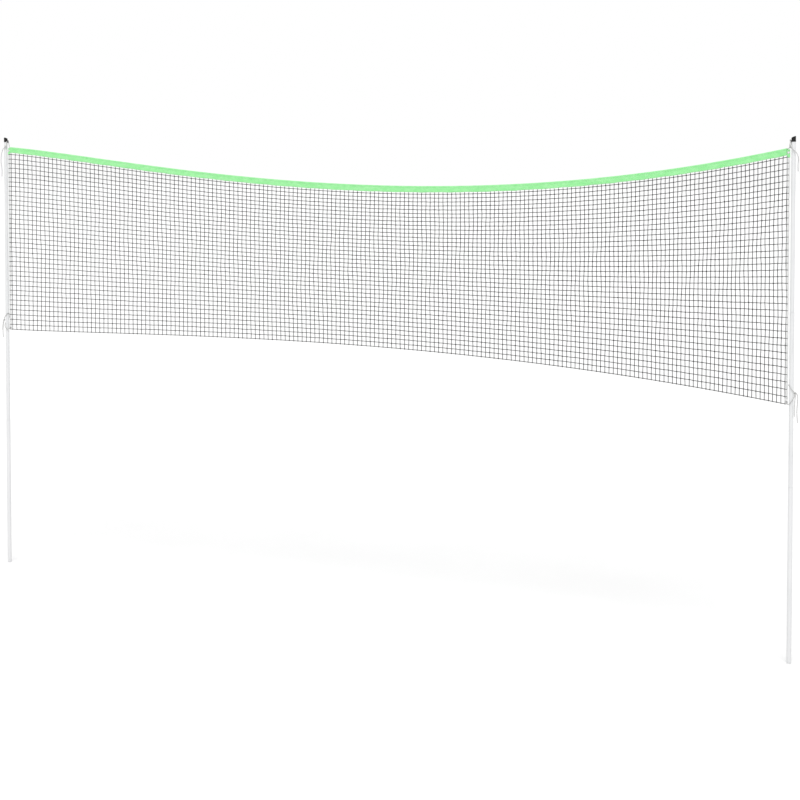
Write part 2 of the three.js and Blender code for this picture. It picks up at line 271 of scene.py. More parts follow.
def grid_faces(rings, sides, close_rings=False):
    """Quads between neighbouring rings of a surface whose rings are closed loops."""
    ring = np.arange(rings if close_rings else rings - 1)[:, None]
    side = np.arange(sides)[None, :]
    here = ring * sides
    above = ((ring + 1) % rings) * sides
    turn = (side + 1) % sides
    quads = np.stack([here + side, here + turn, above + turn, above + side], axis=-1)
    return quads.reshape(-1, 4)


def lathe(profile, centre_x, axis="Z", centre=(0, 0), sides=ROUND_SIDES):
    """A closed loop of (radius, height) pairs turned about Z at centre_x, or about Y at (x, z)."""
    angles = around(sides)
    profile = np.asarray(profile, float)
    across = profile[:, :1] * np.cos(angles)
    along = profile[:, :1] * np.sin(angles)
    height = np.repeat(profile[:, 1:], sides, axis=1)
    if axis == "Z":
        vertices = np.stack([centre_x + across, along, height], axis=-1)
    else:
        vertices = np.stack([centre[0] + across, -height, centre[1] + along], axis=-1)
    return vertices.reshape(-1, 3), grid_faces(len(profile), sides, close_rings=True)


def lip(radius_from, radius_to, height, bulge):
    """A round lip of half-circle section from one radius to another at a tube's end."""
    middle = (radius_from + radius_to) / 2
    half = (radius_from - radius_to) / 2
    points = []
    for i in range(LIP_STEPS + 1):
        angle = math.pi * i / LIP_STEPS
        points.append((middle + half * math.cos(angle), height + bulge * abs(half) * math.sin(angle)))
    return points


def smooth_route(points, step):
    """Even steps along a centripetal Catmull-Rom curve through the points."""
    knots = [Vector(point) for point in points]
    knots = [2 * knots[0] - knots[1], *knots, 2 * knots[-1] - knots[-2]]
    fine = []
    for before, start, end, after in zip(knots, knots[1:], knots[2:], knots[3:]):
        first = math.sqrt((start - before).length)
        middle = math.sqrt((end - start).length)
        last = math.sqrt((after - end).length)
        leave = (start - before) / first - (end - before) / (first + middle) + (end - start) / middle
        arrive = (end - start) / middle - (after - start) / (middle + last) + (after - end) / last
        for i in range(ROUTE_STEPS):
            t = i / ROUTE_STEPS
            fine.append(
                start * (2 * t**3 - 3 * t**2 + 1) + leave * middle * (t**3 - 2 * t**2 + t)
                + end * (3 * t**2 - 2 * t**3) + arrive * middle * (t**3 - t**2)
            )
    fine.append(knots[-2])
    fine = np.array(fine)
    travelled = np.concatenate([[0], np.cumsum(np.linalg.norm(np.diff(fine, axis=0), axis=1))])
    stations = np.linspace(0, travelled[-1], max(8, round(travelled[-1] / step)) + 1)
    return np.stack([np.interp(stations, travelled, fine[:, axis]) for axis in range(3)], axis=1)


def frames_along(route):
    """Unit vectors across a route that turn as little as they can from ring to ring."""
    tangents = unit(np.gradient(route, axis=0))
    across = np.cross(tangents[0], (0.3, 1.0, 0.2))
    sideways = []
    for tangent in tangents:
        across = across - tangent * across.dot(tangent)
        across /= np.linalg.norm(across)
        sideways.append(across)
    sideways = np.array(sideways)
    return sideways, np.cross(tangents, sideways)


def swept_tube(route, radii):
    """Rings of vertices around a route, with one radius for each vertex, and a round cap at each end."""
    sides = radii.shape[1]
    ring = turned(*frames_along(route), sides)
    vertices = (route[:, None, :] + ring * radii[:, :, None]).reshape(-1, 3)
    faces = grid_faces(len(route), sides).tolist()
    last = (len(route) - 1) * sides
    faces.append(list(range(sides))[::-1])
    faces.append(list(range(last, last + sides)))
    return vertices, faces


def braid_relief(sides, turn):
    """The diamonds of a round braid, as a share of the radius, for each ring's turn."""
    strands = sides / 4
    angles = around(sides)
    weave = np.cos(strands * angles + turn) * np.cos(strands * angles - turn)
    return 1 - BRAID_DEPTH / 2 + BRAID_DEPTH * weave


def braided_radii(route, diameter, sides=CORD_SIDES, swell=0.0):
    """The radii of a braided cord, rounded off at both ends, with a stopper's swell at its start."""
    length = np.linalg.norm(np.diff(route, axis=0), axis=1).sum()
    travelled = np.linspace(0, length, len(route))[:, None]
    radii = diameter / 2 * braid_relief(sides, travelled * 2 * math.pi / BRAID_PITCH)
    from_end = np.minimum(travelled, length - travelled) / (diameter / 2)
    radii = radii * np.sqrt(np.clip(1 - (1 - np.clip(from_end, 0, 1)) ** 2, 0.12, 1))
    return radii * (1 + swell * np.exp(-((travelled - diameter * 0.6) / (diameter * 0.45)) ** 2))


# ---- Material helpers ----

class Finish:
    """One procedural material, with the few nodes that every finish here is made of."""

    def __init__(self, name, roughness, metallic=0.0):
        self.material = bpy.data.materials.new(name)
        self.material.use_nodes = True
        self.tree = self.material.node_tree
        self.shader = self.tree.nodes["Principled BSDF"]
        self.shader.inputs["Roughness"].default_value = roughness
        self.shader.inputs["Metallic"].default_value = metallic
        self.place = self.tree.nodes.new("ShaderNodeTexCoord").outputs["Object"]

    def link(self, output, node, socket):
        self.tree.links.new(output, node.inputs[socket])

    def stretched(self, scale, turn=(0, 0, 0)):
        node = self.tree.nodes.new("ShaderNodeMapping")
        node.inputs["Scale"].default_value = scale
        node.inputs["Rotation"].default_value = turn
        self.link(self.place, node, "Vector")
        return node.outputs["Vector"]

    def noise(self, scale, detail=3.0, roughness=0.5, place=None):
        node = self.tree.nodes.new("ShaderNodeTexNoise")
        node.inputs["Scale"].default_value = scale
        node.inputs["Detail"].default_value = detail
        node.inputs["Roughness"].default_value = roughness
        self.link(place or self.place, node, "Vector")
        return node.outputs["Fac"]

    def threads(self, direction, period, wobble=0.4, place=None):
        """Parallel ridges a period apart, as the threads of a weave."""
        node = self.tree.nodes.new("ShaderNodeTexWave")
        node.bands_direction = direction
        node.inputs["Scale"].default_value = 2 * math.pi / (20 * period)
        node.inputs["Distortion"].default_value = wobble
        node.inputs["Detail"].default_value = 1.0
        self.link(place or self.place, node, "Vector")
        return node.outputs["Fac"]

    def combined(self, first, second, operation="ADD", clamp=False):
        node = self.tree.nodes.new("ShaderNodeMath")
        node.operation = operation
        node.use_clamp = clamp
        for socket, value in zip(node.inputs, (first, second)):
            if isinstance(value, (int, float)):
                socket.default_value = value
            else:
                self.tree.links.new(value, socket)
        return node.outputs[0]

    def times(self, first, second):
        return self.combined(first, second, "MULTIPLY")

    def ramp(self, source, *stops):
        """Colours at positions along a source from 0 to 1."""
        node = self.tree.nodes.new("ShaderNodeValToRGB")
        while len(node.color_ramp.elements) < len(stops):
            node.color_ramp.elements.new(0.5)
        for element, (position, colour) in zip(node.color_ramp.elements, stops):
            element.position = position
            element.color = (*colour, 1) if isinstance(colour, tuple) else (colour, colour, colour, 1)
        self.link(source, node, "Fac")
        return node.outputs["Color"]

    def mixed(self, share, first, second, blend="MIX"):
        node = self.tree.nodes.new("ShaderNodeMix")
        node.data_type = "RGBA"
        node.blend_type = blend
        for socket, value in ((node.inputs[0], share), (node.inputs[6], first), (node.inputs[7], second)):
            if isinstance(value, tuple):
                socket.default_value = (*value, 1)
            elif isinstance(value, float):
                socket.default_value = value
            else:
                self.tree.links.new(value, socket)
        return node.outputs[2]

    def darkened(self, colour, source, *stops):
        """A colour multiplied by a ramp of greys; every finish here uses it to paint shade into grooves and
        hollows.
        """
        return self.mixed(1.0, colour, self.ramp(source, *stops), "MULTIPLY")

    def edges(self, low, high):
        """White along sharp outer edges."""
        node = self.tree.nodes.new("ShaderNodeNewGeometry")
        return self.ramp(node.outputs["Pointiness"], (low, 0.0), (high, 1.0))

    def colour(self, output):
        self.link(output, self.shader, "Base Color")

    def roughness(self, source, low, high):
        self.link(self.ramp(source, (0.3, low), (0.7, high)), self.shader, "Roughness")

    def relief(self, height, distance, strength=1.0):
        node = self.tree.nodes.new("ShaderNodeBump")
        node.inputs["Strength"].default_value = strength
        node.inputs["Distance"].default_value = distance
        self.link(height, node, "Height")
        self.link(node.outputs["Normal"], self.shader, "Normal")

    def sheen(self, weight, roughness=0.5):
        self.shader.inputs["Sheen Weight"].default_value = weight
        self.shader.inputs["Sheen Roughness"].default_value = roughness


# ---- Materials ----

def pole_paint():
    """White powder coat: faint orange peel, soft cloudiness, long faint scuffs, and grey at chipped lips."""
    finish = Finish("pole_paint", 0.38)
    clouds = finish.noise(6.0, 5.0, 0.6)
    scuffs = finish.noise(150.0, 5.0, 0.65, finish.stretched((1.0, 1.0, 0.07)))
    white = finish.ramp(clouds, (0.3, (0.700, 0.707, 0.717)), (0.7, (0.765, 0.768, 0.772)))
    scuffed = finish.ramp(scuffs, (0.56, 0.0), (0.72, 1.0))
    worn = finish.mixed(finish.times(scuffed, 0.45), white, (0.50, 0.51, 0.52))
    chips = finish.combined(finish.edges(0.56, 0.66), finish.noise(900.0, 2.0), "MULTIPLY", clamp=True)
    finish.colour(finish.mixed(chips, worn, (0.36, 0.37, 0.38)))
    finish.roughness(scuffs, 0.30, 0.52)
    finish.relief(finish.noise(1100.0, 2.0), 0.00006, 0.5)
    return finish.material


def cap_plastic():
    """Moulded black plastic with a fine spark-eroded grain and edges rubbed a little paler."""
    finish = Finish("cap_plastic", 0.45)
    patches = finish.noise(220.0, 3.0)
    black = finish.ramp(patches, (0.3, 0.007), (0.7, 0.014))
    rubbed = finish.times(finish.edges(0.54, 0.70), 0.6)
    finish.colour(finish.mixed(rubbed, black, (0.05, 0.05, 0.052)))
    finish.roughness(patches, 0.42, 0.60)
    finish.shader.inputs["Specular IOR Level"].default_value = 0.25
    finish.relief(finish.noise(4200.0, 2.0), 0.00004, 0.6)
    return finish.material


def plug_plastic():
    """Pale plastic, a little dirty from the soil."""
    finish = Finish("plug_plastic", 0.55)
    soil = finish.noise(300.0, 5.0, 0.6)
    finish.colour(finish.ramp(soil, (0.42, (0.72, 0.72, 0.70)), (0.66, (0.42, 0.38, 0.32))))
    finish.roughness(soil, 0.45, 0.7)
    finish.relief(finish.noise(2600.0, 2.0), 0.00005, 0.5)
    return finish.material


def spike_steel():
    """Zinc-plated steel rod with drawing marks along it and a trace of soil and rust."""
    finish = Finish("spike_steel", 0.34, 0.9)
    drawn = finish.noise(900.0, 4.0, 0.6, finish.stretched((1.0, 1.0, 0.05)))
    stains = finish.noise(70.0, 6.0, 0.65)
    zinc = finish.ramp(drawn, (0.35, (0.50, 0.51, 0.52)), (0.65, (0.62, 0.63, 0.64)))
    stained = finish.ramp(stains, (0.56, 0.0), (0.70, 1.0))
    finish.colour(finish.mixed(stained, zinc, (0.20, 0.13, 0.08)))
    finish.roughness(stains, 0.26, 0.62)
    finish.relief(drawn, 0.00003, 0.6)
    return finish.material


def woven(name, pale, deep, period, roughness, sheen):
    """Plain-woven cloth: two sets of threads, slow dye variation, painted shade between the threads, and a
    soft fuzz.
    """
    finish = Finish(name, roughness)
    warp = finish.threads("X", period, 0.6)
    weft = finish.threads("Z", period * 1.15, 0.6)
    weave = finish.times(warp, weft)
    dye = finish.noise(38.0, 4.0, 0.6, finish.stretched((1.0, 1.0, 2.2)))
    ground = finish.ramp(dye, (0.32, deep), (0.68, pale))
    # painted shade: the weave darkens the colour between the threads, where they dip
    finish.colour(finish.darkened(ground, weave, (0.0, 0.80), (0.55, 1.0)))
    fuzz = finish.noise(1500.0, 3.0, 0.7)
    finish.roughness(fuzz, roughness - 0.08, min(1.0, roughness + 0.1))
    finish.relief(finish.combined(weave, finish.times(fuzz, 0.5)), period * 0.35, 0.7)
    finish.sheen(sheen)
    return finish.material


def stitched_thread(name, colour):
    """Sewing thread, twisted from fine filaments, with painted shade in the grooves of the twist."""
    finish = Finish(name, 0.6)
    strand = finish.threads("DIAGONAL", 0.00022, 0.8)
    # painted shade: the colour is darkened in the grooves of the twist
    finish.colour(finish.darkened(colour, strand, (0.0, 0.72), (0.6, 1.0)))
    finish.roughness(strand, 0.45, 0.75)
    finish.relief(strand, 0.00006, 0.8)
    finish.sheen(0.2)
    return finish.material


def mesh_twine():
    """Dark twisted polyester twine with a slight fuzz, dustier in places, and painted shade in the grooves
    of the twist.
    """
    finish = Finish("mesh_twine", 0.75)
    strand = finish.threads("DIAGONAL", 0.0006, 1.2)
    dust = finish.noise(9.0, 5.0, 0.6)
    dark = finish.ramp(dust, (0.35, (0.016, 0.016, 0.018)), (0.68, (0.030, 0.030, 0.031)))
    # painted shade: the colour is darkened in the grooves of the twist
    finish.colour(finish.darkened(dark, strand, (0.0, 0.62), (0.6, 1.0)))
    finish.roughness(finish.noise(1800.0, 2.0), 0.62, 0.9)
    finish.relief(strand, 0.00012, 0.8)
    finish.sheen(0.15)
    return finish.material


def white_cord():
    """Soft braided white cord, with painted shade darkening the hollows of the braid and the grooves of its
    yarn.
    """
    finish = Finish("white_cord", 0.7)
    yarn = finish.threads("DIAGONAL", 0.00035, 1.6)
    grime = finish.noise(120.0, 5.0, 0.6)
    cloth = finish.ramp(grime, (0.35, (0.46, 0.46, 0.455)), (0.65, (0.60, 0.60, 0.59)))
    # painted shade: Pointiness darkens the colour in the hollows of the braid
    hollow_painted_shade = finish.tree.nodes.new("ShaderNodeNewGeometry").outputs["Pointiness"]
    shaded = finish.darkened(cloth, hollow_painted_shade, (0.46, 0.60), (0.52, 1.0))
    # painted shade: the colour is darkened in the grooves of the yarn
    finish.colour(finish.darkened(shaded, yarn, (0.0, 0.86), (0.6, 1.0)))
    finish.roughness(grime, 0.6, 0.85)
    finish.relief(yarn, 0.00008, 0.7)
    finish.sheen(0.2)
    return finish.material


def eyelet_metal():
    """Nickel-plated brass, turned, with small scratches."""
    finish = Finish("eyelet_metal", 0.3, 1.0)
    scratches = finish.noise(2200.0, 4.0, 0.7, finish.stretched((1.0, 1.0, 0.12), (0.0, 0.6, 0.0)))
    finish.colour(finish.ramp(scratches, (0.35, (0.66, 0.66, 0.67)), (0.65, (0.86, 0.86, 0.86))))
    finish.roughness(scratches, 0.22, 0.48)
    finish.relief(scratches, 0.00002, 0.5)
    return finish.material


def pale_floor():
    """Matt seamless studio floor with a barely visible grain."""
    finish = Finish("pale_floor", 0.95)
    finish.colour(finish.ramp(finish.noise(2.0, 4.0), (0.3, 0.885), (0.7, 0.900)))
    finish.shader.inputs["Specular IOR Level"].default_value = 0.0
    return finish.material


PAINT = pole_paint()
BLACK_PLASTIC = cap_plastic()
PALE_PLASTIC = plug_plastic()
STEEL = spike_steel()
GREEN_CLOTH = woven("band_cloth", (0.430, 0.985, 0.440), (0.300, 0.910, 0.320), 0.00055, 0.82, 0.35)
WHITE_CLOTH = woven("tape_cloth", (0.86, 0.86, 0.85), (0.76, 0.77, 0.77), 0.00045, 0.85, 0.3)
GREEN_THREAD = stitched_thread("green_thread", (0.52, 0.90, 0.53))
WHITE_THREAD = stitched_thread("white_thread", (0.70, 0.70, 0.69))
TWINE = mesh_twine()
CORD = white_cord()
NICKEL = eyelet_metal()


# ---- Camera, first, because the cords are judged in its view ----

def add_camera():
    data = bpy.data.cameras.new("camera")
    data.sensor_width = 36.0
    data.lens = 97.17
    data.shift_y = -0.18
    data.clip_end = 200.0
    camera = bpy.data.objects.new("camera", data)
    azimuth, pitch = math.radians(30.96), math.radians(2.98)
    camera.location = (3.753, -5.981, 1.527)
    camera.rotation_euler = (math.pi / 2 - pitch, 0.0, azimuth)
    bpy.context.scene.collection.objects.link(camera)
    bpy.context.scene.camera = camera


# ---- Cords ----

def cord_piece(name, points, body, swell=0.0):
    route = smooth_route(points, CORD_RING_STEP)
    vertices, faces = swept_tube(route, braided_radii(route, CORD_DIAMETER, swell=swell))
    piece = add_mesh(name + "_braid", vertices, faces, CORD)
    settle(piece, body, [name])
    length = float(np.linalg.norm(np.diff(route, axis=0), axis=1).sum())
    return piece, route, length


def knot_piece(name, centre, body, tilt):
    """An overhand knot pulled tight: the cord runs round a small trefoil."""
    turns = np.linspace(0, 2 * math.pi, 181)[:-1]
    loop = np.stack([
        np.sin(turns) + 2 * np.sin(2 * turns),
        -1.25 * np.sin(3 * turns),
        np.cos(turns) - 2 * np.cos(2 * turns),
    ], axis=1) * KNOT_SCALE
    lean = np.array([[math.cos(tilt), 0, math.sin(tilt)], [0, 1, 0], [-math.sin(tilt), 0, math.cos(tilt)]])
    loop = loop @ lean.T + np.array(centre)
    tangents = unit(np.roll(loop, -1, axis=0) - np.roll(loop, 1, axis=0))
    outwards = loop - np.array(centre)
    outwards -= tangents * (outwards * tangents).sum(axis=1, keepdims=True)
    outwards = unit(outwards)
    ring = turned(outwards, np.cross(tangents, outwards), CORD_SIDES)
    turn = np.arange(len(loop))[:, None] * 2 * math.pi / KNOT_BRAID_RINGS
    radii = CORD_DIAMETER * KNOT_SQUEEZE * braid_relief(CORD_SIDES, turn)
    vertices = (loop[:, None, :] + ring * radii[:, :, None]).reshape(-1, 3)
    piece = add_mesh(name + "_braid", vertices, grid_faces(len(loop), CORD_SIDES, close_rings=True), CORD)
    return settle(piece, body, [name])


def add_ties(side):
    """The tie over the cap's hook and the tie round the pole, each with its knot and free ends."""
    top, foot = BAND_TOP_AT_POLES, FOOT_HEIGHT[side]
    top_middle, = placed(side, top, [TOP_KNOT])
    bottom_middle, = placed(side, foot, [BOTTOM_KNOT])
    tilt = {end: KNOT_TILT[end] * SIDES[side] for end in KNOT_TILT}
    top_knot = knot_piece(f"{side}_top_knot", top_middle, "raised_net", tilt["top"])
    bottom_knot = knot_piece(f"{side}_bottom_knot", bottom_middle, "net_foot", tilt["bottom"])
    into_band = (TOP_TIE[0][0] + TIE_TUCK, *TOP_TIE[0][1:])
    ties = [
        (f"{side}_top_tie", [into_band, *TOP_TIE], top, top_middle, "raised_net", top_knot, 0.0),
        (f"{side}_bottom_tie", BOTTOM_TIE, foot, bottom_middle, "net_foot", bottom_knot,
         STOPPER_SWELL),
    ]
    for name, points, base, middle, body, knot, swell in ties:
        route = placed(side, base, points)
        route.append(route[-1].lerp(middle, SHARE_INTO_KNOT))
        tie, path, length = cord_piece(name, route, body, swell)
    tails = [(f"{side}_top_tail", TOP_TAIL[side], top, top_middle, "raised_net")]
    for letter, points in BOTTOM_TAILS[side].items():
        tails.append((f"{side}_bottom_tail_{letter}", points, foot, bottom_middle, "net_foot"))
    for name, points, base, middle, body in tails:
        route = placed(side, base, points)
        route.insert(0, route[0].lerp(middle, SHARE_INTO_KNOT))
        tail, path, length = cord_piece(name, route, body)


def add_edge_cords():
    """The white head cord inside the band, and the dark cord along the net's foot."""
    x = np.linspace(*(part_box("head_cord")[i].x for i in (0, 1)), 900)
    route = np.stack([x, 0 * x, band_top(share_at(x)) - BAND_FOLD_RADIUS], axis=1)
    head = add_mesh("head_cord_braid", *swept_tube(route, braided_radii(route, CORD_DIAMETER, 8)), CORD)
    settle(head, "raised_net", ["head_cord"])

    x = np.linspace(*(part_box("foot_cord")[i].x for i in (0, 1)), 2200)
    route = np.stack([x, 0 * x, foot_edge(share_at(x))], axis=1)
    twist = 2 * math.pi * x / FOOT_CORD_LAY
    radii = FOOT_CORD_DIAMETER / 2 * (0.88 + 0.12 * np.cos(3 * around(10)[None, :] + twist[:, None]))
    foot = add_mesh("foot_cord_twist", *swept_tube(route, radii), TWINE)
    settle(foot, "net_foot", ["foot_cord"])


# ---- The net of twine ----

def billow(share, drop):
    """How far the net stands out of its plane, which is nothing at its edges."""
    middle = np.sin(np.pi * share) * np.sin(np.pi * drop)
    waves = 0.5 * np.sin(2.6 * np.pi * share + 1.1) + 0.35 * np.sin(7.3 * np.pi * share + 2.0 * drop)
    return BILLOW_DEPTH * middle * waves


def net_grid():
    """The crossings of the net, as an array of rows by columns of points."""
    u = np.linspace(0, 1, NET_COLUMNS)
    spread = (1 + COLUMN_GATHER) * u - COLUMN_GATHER * u**2
    left, right = (x_at_inset(side, COLUMN_INSET[side]) for side in SIDES)
    x = np.tile(left + (right - left) * spread, (NET_ROWS, 1))
    row = np.tile(np.linspace(0, 1, NET_ROWS)[:, None], (1, NET_COLUMNS))
    share = share_at(x)
    stretch = np.interp(share, (0, 0.5, 1), list(ROW_STRETCH.values()))
    drop = row * (1 - stretch / 2) + stretch / 2 * row**2
    top = band_top(share) - BAND_HEIGHT - FIRST_ROW_DROP
    z = top - (top - foot_edge(share)) * drop
    inner = np.sin(np.pi * row)
    sway = 0.0011 * np.sin(9 * row + 40 * share) + 0.0008 * np.sin(23 * row + 151 * share)
    x = x + inner * sway + CROSSING_SHIFT * RANDOM.uniform(-1, 1, x.shape)
    z = z + CROSSING_SHIFT * RANDOM.uniform(-1, 1, x.shape) * (inner > 0.01)
    return np.stack([x, billow(share, row), z], axis=-1)


def twine_tubes(lines, radii, sides=TWINE_SIDES):
    """Thin tubes along many lines at once: lines is (count, points, 3) and radii is (count, points)."""
    count, points, _ = lines.shape
    tangents = unit(np.gradient(lines, axis=1))
    across = unit(np.cross(tangents, np.array([0.0, 1.0, 0.0])))
    ring = turned(across, np.cross(tangents, across), sides)
    vertices = (lines[:, :, None, :] + ring * radii[:, :, None, None]).reshape(-1, 3)
    one = grid_faces(points, sides)
    faces = (one[None] + np.arange(count)[:, None, None] * points * sides).reshape(-1, 4)
    return vertices, faces


def crossing_knots(centres):
    """A small lump of twine at each crossing: an icosahedron, squeezed and turned a little at random."""
    golden = (1 + math.sqrt(5)) / 2
    corners = []
    for a in (-1, 1):
        for b in (-golden, golden):
            corners += [(0, a, b), (a, b, 0), (b, 0, a)]
    corners = np.array(corners, float) / math.hypot(1, golden)
    hull = bmesh.new()
    for corner in corners:
        hull.verts.new(corner)
    bmesh.ops.convex_hull(hull, input=hull.verts)
    hull.verts.index_update()
    triangles = np.array([[vertex.index for vertex in face.verts] for face in hull.faces])
    hull.free()
    count = len(centres)
    size = np.array(KNOT_SIZE) * RANDOM.uniform(0.85, 1.15, (count, 1))
    turn = RANDOM.uniform(-0.7, 0.7, count)
    body = corners[None] * size[:, None, :]
    x = body[..., 0] * np.cos(turn)[:, None] + body[..., 2] * np.sin(turn)[:, None]
    z = body[..., 2] * np.cos(turn)[:, None] - body[..., 0] * np.sin(turn)[:, None]
    vertices = np.stack([x, body[..., 1], z], axis=-1) + centres[:, None, :]
    faces = triangles[None] + np.arange(count)[:, None, None] * len(corners)
    return vertices.reshape(-1, 3), faces.reshape(-1, 3)


def add_twines(name, vertices, faces):
    settle_blended(add_mesh(name, vertices, faces, TWINE), ["net_mesh"])


def add_net():
    """The rows, the columns with their tops tucked into the band, and a knot at each crossing."""
    grid = net_grid()
    rows = row_lines(grid)
    taper = np.full(rows.shape[1], TWINE_DIAMETER / 2)
    taper[[0, -1]] *= ROW_END_TAPER
    add_twines("net_row_twines", *twine_tubes(rows, np.tile(taper, (len(rows), 1))))

    tops = []
    for rise in TUCKED_RISES:
        point = grid[0] + np.array([0, 0, FIRST_ROW_DROP + rise])
        point[:, 1] = band_ripple(point[:, 0], BAND_HEIGHT - rise)[0]
        tops.append(point)
    columns = np.concatenate([tops, grid]).transpose(1, 0, 2)
    radii = np.full(columns.shape[:2], TWINE_DIAMETER / 2)
    radii[:, :2] = TUCKED_TWINE
    add_twines("net_column_twines", *twine_tubes(columns, radii))
    add_twines("net_knots", *crossing_knots(grid.reshape(-1, 3)))


def row_lines(grid):
    """The rows, carried on over the face of the side tapes to where they are sewn in."""
    ends = {}
    for side, column in (("left", 0), ("right", -1)):
        edge = grid[:, column].copy()
        edge[:, 0] = x_at_inset(side, ROW_END_INSET)
        edge[:, 1] = -ROW_STANDS_OUT
        near = grid[:, column].copy()
        near[:, 0] = x_at_inset(side, COLUMN_INSET["right"])
        near[:, 1] = -ROW_STANDS_OUT
        ends[side] = (edge, near)
    left_edge, left_near = ends["left"]
    right_edge, _ = ends["right"]
    return np.concatenate([left_edge[:, None], left_near[:, None], grid, right_edge[:, None]], axis=1)


# ---- Band, tapes and corner patches ----

def band_section():
    """Points (across, down) round the folded strip, first over its outside and then over its inside."""
    outer, inner = BAND_FOLD_RADIUS, BAND_FOLD_RADIUS - BAND_CLOTH
    leg_outer, leg_inner = BAND_CLOTH + BAND_GAP, BAND_GAP
    fold_end = 3 * BAND_FOLD_RADIUS

    def side_of(radius, leg, top):
        points = []
        for down in np.linspace(BAND_HEIGHT, fold_end, 7):
            points.append((leg, down))
        for i in range(1, 5):
            ease = (1 - math.cos(math.pi * i / 5)) / 2
            points.append((leg + (radius - leg) * ease, fold_end + (BAND_FOLD_RADIUS - fold_end) * i / 5))
        for i in range(6):
            angle = math.pi / 2 * i / 5
            rise = (BAND_FOLD_RADIUS - top) * math.sin(angle)
            points.append((radius * math.cos(angle), BAND_FOLD_RADIUS - rise))
        return points

    outside = side_of(outer, leg_outer, 0.0)
    inside = side_of(inner, leg_inner, BAND_CLOTH)
    round_outside = [(-a, d) for a, d in outside] + [(a, d) for a, d in reversed(outside[:-1])]
    round_inside = [(a, d) for a, d in inside] + [(-a, d) for a, d in reversed(inside[:-1])]
    return np.array(round_outside + round_inside)


def band_ripple(x, down):
    """Small waves in the hanging legs of the band, none at its fold."""
    free = np.clip((down - 0.004) / (BAND_HEIGHT - 0.004), 0, 1)
    depth = 0.0007 * np.sin(x * 31 + 0.4) + 0.0005 * np.sin(x * 73 + 1.9)
    rise = 0.0004 * np.sin(x * 57) + 0.0003 * np.sin(x * 131 + 0.7)
    return free * depth, free * rise


def band_frames(stations):
    """For stations along X: the fold's place, and the unit vector down the face, upright at the ends."""
    share = share_at(stations)
    place = np.stack([stations, 0 * stations, band_top(share)], axis=1)
    upright = np.clip((NET_WIDTH / 2 - BAND_END_CLEARANCE - np.abs(stations)) / BAND_END_TURN, 0, 1)
    after, before = (band_top(share_at(stations + step)) for step in (SLOPE_STEP, -SLOPE_STEP))
    slope = (after - before) / (2 * SLOPE_STEP) * upright
    down = np.stack([slope, 0 * slope, -np.ones_like(slope)], axis=1)
    return place, unit(down)


def on_band(stations, across, down):
    """Points of the band at (across, down) pairs for every station."""
    place, direction = band_frames(stations)
    depth, rise = band_ripple(stations[:, None], down[None, :])
    points = place[:, None, :] + direction[:, None, :] * (down[None, :] + rise)[..., None]
    points[..., 1] += across[None, :] + depth
    return points


def add_band():
    reach = NET_WIDTH / 2 - BAND_END_CLEARANCE
    stations = np.linspace(-reach, reach, BAND_STATIONS)
    section = band_section()
    vertices = on_band(stations, section[:, 0], section[:, 1]).reshape(-1, 3)
    faces = closed_strip_faces(len(stations), len(section))
    band = add_mesh("top_band_cloth", vertices, faces, GREEN_CLOTH)
    settle(band, "raised_net", ["top_band"])
    face = BAND_CLOTH + BAND_GAP
    starts = np.arange(-reach + BAND_SEAM_START, reach - BAND_SEAM_START, STITCH_PITCH)
    stitch_places = (starts, starts + STITCH_LENGTH)
    for row, down in BAND_SEAMS.items():
        for side_name, across in (("front", -face), ("back", face)):
            line = [on_band(x, np.array([across]), np.array([down]))[:, 0] for x in stitch_places]
            bars = stitch_bars(*line, across)
            stitches = add_mesh(f"band_stitches_{row}_{side_name}", *bars, GREEN_THREAD)
            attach(stitches, "raised_net")
    return band


def stitch_bars(starts, ends, face):
    """Short threads from start to end that dip into the cloth's front (face < 0) or back at both ends."""
    outward = np.array([0, math.copysign(1, face), 0])
    along = ends - starts
    length = np.linalg.norm(along, axis=1, keepdims=True)
    along = along / length
    sideways = np.cross(along, outward)
    bars = []
    for share, width, height in ((0, 0.35, -0.4), (0.25, 1, 0.45), (0.75, 1, 0.45), (1, 0.35, -0.4)):
        centre = starts + along * length * share
        for across, lift in ((-1, 0), (0, 1), (1, 0)):
            shift = sideways * across * width * STITCH_WIDTH / 2
            rise = outward * STITCH_WIDTH * (height * lift - 0.1 * (1 - lift))
            bars.append(centre + shift + rise)
    vertices = np.stack(bars, axis=1)
    one = []
    for ring in range(3):
        for side in range(2):
            here = 3 * ring + side
            one.append((here, here + 1, here + 4, here + 3))
    one = np.array(one)
    faces = one[None] + np.arange(len(starts))[:, None, None] * 12
    return vertices.reshape(-1, 3), faces.reshape(-1, 4)


